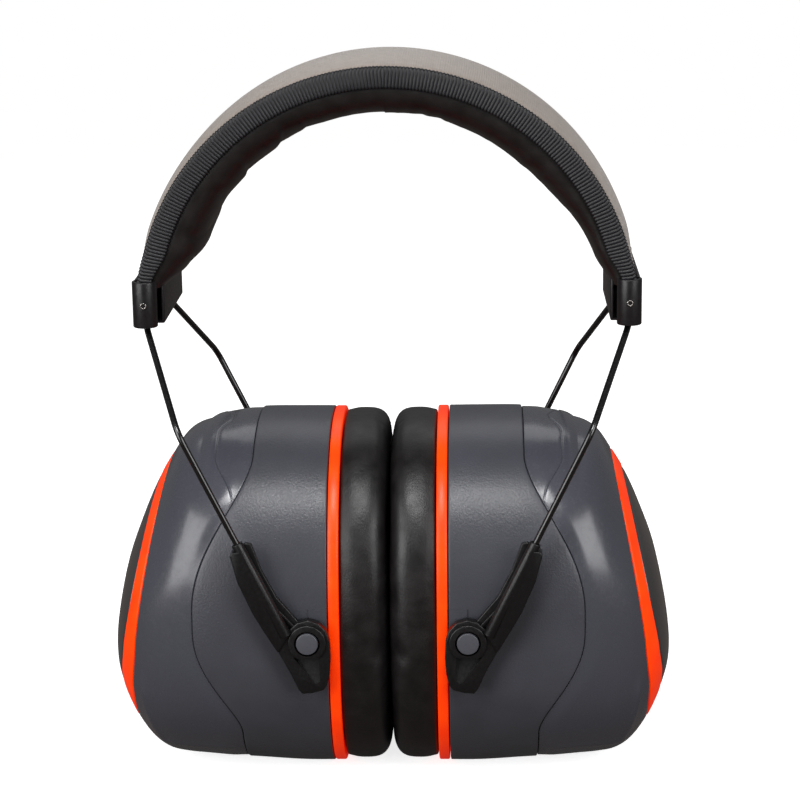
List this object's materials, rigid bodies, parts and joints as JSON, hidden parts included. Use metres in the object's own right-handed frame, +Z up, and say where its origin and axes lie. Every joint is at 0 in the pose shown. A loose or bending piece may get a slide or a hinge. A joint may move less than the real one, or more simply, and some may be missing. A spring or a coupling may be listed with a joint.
{
  "type": "hearing protection earmuffs",
  "caption": "Over-the-head hearing protection earmuffs: deep moulded cups with soft ear cushions on sliding pivot arms, held by a sprung wire headband with a padded cover.",
  "frame": {"origin": "under the middle of the earmuffs, on the surface the cups stand on", "axes": "+X to the right and +Y to the rear as seen from the front, +Z up from the cups to the headband"},
  "size_m": [0.1524, 0.0994, 0.1938],
  "materials": {
    "base_plastic": "fine moulded texture",
    "shell_plastic": "polished",
    "accent_plastic": "satin",
    "plate_plastic": "matte",
    "arm_plastic": "satin",
    "button_plastic": "matte",
    "spring_wire": "gloss black",
    "rivet": "dark satin",
    "band_fabric": "smooth grey woven",
    "binding": "ribbed",
    "leatherette": "soft satin grain",
    "foam": "open cell"
  },
  "bodies": {
    "headband": {"binding_crown_front": "binding", "spring_wire_crown_front": "spring_wire", "binding_crown_rear": "binding", "spring_wire_crown_rear": "spring_wire", "cover_crown": "band_fabric", "pad_skin_crown": "leatherette", "pad_foam_crown": "foam"},
    "left_side": {"cover_left": "band_fabric", "pad_skin_left": "leatherette", "pad_foam_left": "foam", "end_clip_left": "arm_plastic", "binding_left_front": "binding", "spring_wire_left_front": "spring_wire", "clip_rivet_left_front": "rivet", "binding_left_rear": "binding", "spring_wire_left_rear": "spring_wire", "clip_rivet_left_rear": "rivet"},
    "left_arms": {"arm_left_front": "arm_plastic", "arm_left_rear": "arm_plastic"},
    "left_cup": {"cup_shell_left": "base_plastic", "outer_shell_left": "shell_plastic", "outer_stripe_left": "accent_plastic", "end_cap_left": "shell_plastic", "accent_ring_left": "accent_plastic", "cushion_plate_left": "plate_plastic", "cushion_skin_left": "leatherette", "cushion_foam_left": "foam", "acoustic_foam_left": "foam", "pivot_pin_left_front": "button_plastic", "pivot_pin_left_rear": "button_plastic"},
    "right_side": {"cover_right": "band_fabric", "pad_skin_right": "leatherette", "pad_foam_right": "foam", "end_clip_right": "arm_plastic", "binding_right_front": "binding", "spring_wire_right_front": "spring_wire", "clip_rivet_right_front": "rivet", "binding_right_rear": "binding", "spring_wire_right_rear": "spring_wire", "clip_rivet_right_rear": "rivet"},
    "right_arms": {"arm_right_front": "arm_plastic", "arm_right_rear": "arm_plastic"},
    "right_cup": {"cup_shell_right": "base_plastic", "outer_shell_right": "shell_plastic", "outer_stripe_right": "accent_plastic", "end_cap_right": "shell_plastic", "accent_ring_right": "accent_plastic", "cushion_plate_right": "plate_plastic", "cushion_skin_right": "leatherette", "cushion_foam_right": "foam", "acoustic_foam_right": "foam", "pivot_pin_right_front": "button_plastic", "pivot_pin_right_rear": "button_plastic"}
  },
  "joints": [
    {"name": "left_flex", "type": "hinge", "parent": "headband", "child": "left_side", "pos_m": [-0.0471, 0, 0.1744], "axis": [0, 1, 0], "range_deg": [0, 32], "stiffness_Nm_per_rad": 1.7, "springref_deg": -17.19},
    {"name": "left_slide", "type": "slide", "parent": "left_side", "child": "left_arms", "axis": [-0.435, 0, 0.9004], "range_m": [0, 0.02]},
    {"name": "left_pivot", "type": "hinge", "parent": "left_arms", "child": "left_cup", "pos_m": [-0.0209, 0, 0.046], "axis": [0, 1, 0], "range_deg": [-32, 0]},
    {"name": "right_flex", "type": "hinge", "parent": "headband", "child": "right_side", "pos_m": [0.0471, 0, 0.1744], "axis": [0, -1, 0], "range_deg": [0, 32], "stiffness_Nm_per_rad": 1.7, "springref_deg": -17.19},
    {"name": "right_slide", "type": "slide", "parent": "right_side", "child": "right_arms", "axis": [0.435, 0, 0.9004], "range_m": [0, 0.02]},
    {"name": "right_pivot", "type": "hinge", "parent": "right_arms", "child": "right_cup", "pos_m": [0.0209, 0, 0.046], "axis": [0, -1, 0], "range_deg": [-32, 0]}
  ],
  "couplings": [
    {"joint": "left_pivot", "follows": "left_flex", "ratio": -1},
    {"joint": "right_pivot", "follows": "right_flex", "ratio": -1}
  ]
}
